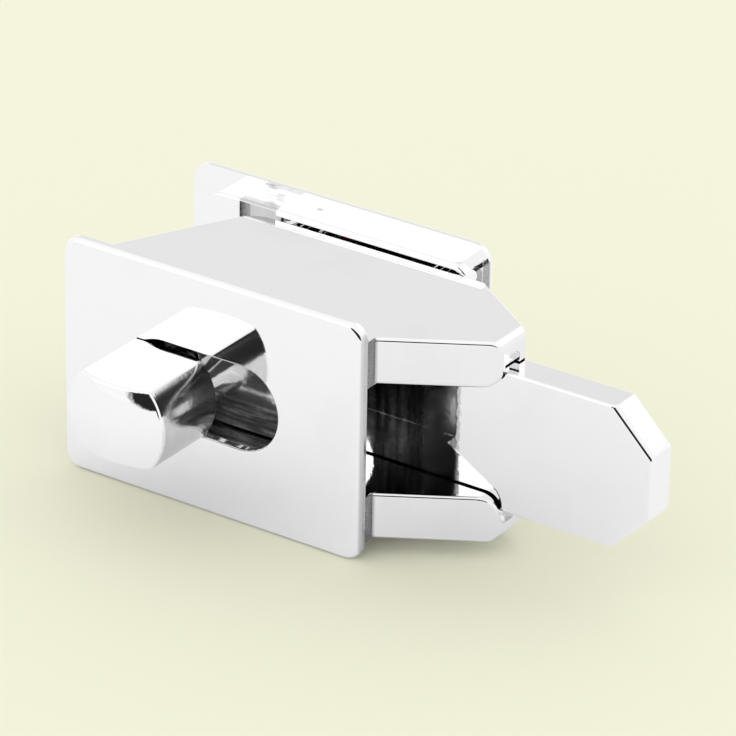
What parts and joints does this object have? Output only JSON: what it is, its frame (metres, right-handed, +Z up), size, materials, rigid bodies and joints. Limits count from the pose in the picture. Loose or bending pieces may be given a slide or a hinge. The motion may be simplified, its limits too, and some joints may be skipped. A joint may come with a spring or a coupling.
{
  "type": "indicator slide latch",
  "caption": "Polished slide latch for a partition door: thumb knob in a slotted plate drives a flat bolt; the rear cover shows a vacancy panel and has a coin turn.",
  "frame": {"origin": "centre of the front plate's back face, where it seats on the door", "axes": "+X along the throw of the bolt, +Y through the door from the room side to the outer side, +Z up"},
  "size_m": [0.0782, 0.043, 0.0318],
  "materials": {
    "plated_housing": "polished",
    "plated_bolt": "polished",
    "plated_knob": "polished",
    "plated_cover": "polished",
    "plated_screw": "polished",
    "plated_turn": "polished",
    "zinc_screw": "brushed",
    "spring_steel": "brushed",
    "sheet_steel": "brushed",
    "rivet_steel": "brushed",
    "ball_steel": "ground",
    "moulded_carrier": "moulded",
    "clear_lens": "clear",
    "green_panel": "gloss",
    "red_panel": "gloss"
  },
  "bodies": {
    "housing": {"front_housing": "plated_housing", "rear_cover": "plated_cover", "cover_screws": "plated_screw", "window_lens": "clear_lens", "lens_retainer": "sheet_steel"},
    "bolt": {"slide_bolt": "plated_bolt", "thumb_knob": "plated_knob", "knob_screws": "zinc_screw", "indicator_carrier": "moulded_carrier", "panel_bracket": "sheet_steel", "bracket_rivets": "rivet_steel", "upper_detent_ball": "ball_steel", "lower_detent_ball": "ball_steel", "detent_spring": "spring_steel", "vacant_panel": "green_panel", "occupied_panel": "red_panel"},
    "release": {"emergency_turn": "plated_turn", "crank_arm": "sheet_steel", "crank_pin": "rivet_steel", "crank_screw": "zinc_screw", "turn_washer": "spring_steel"}
  },
  "joints": [
    {"name": "bolt_slide", "type": "slide", "parent": "housing", "child": "bolt", "axis": [1, 0, 0], "range_m": [-0.00095, 0.01045]},
    {"name": "release_turn", "type": "hinge", "parent": "housing", "child": "release", "pos_m": [0.0035, 0.0275, -0.0083], "axis": [0, 1, 0], "range_deg": [-8.45, 92.41]}
  ],
  "couplings": [
    {"joint": "release_turn", "follows": "bolt_slide", "rad_per_m": 154.26}
  ]
}
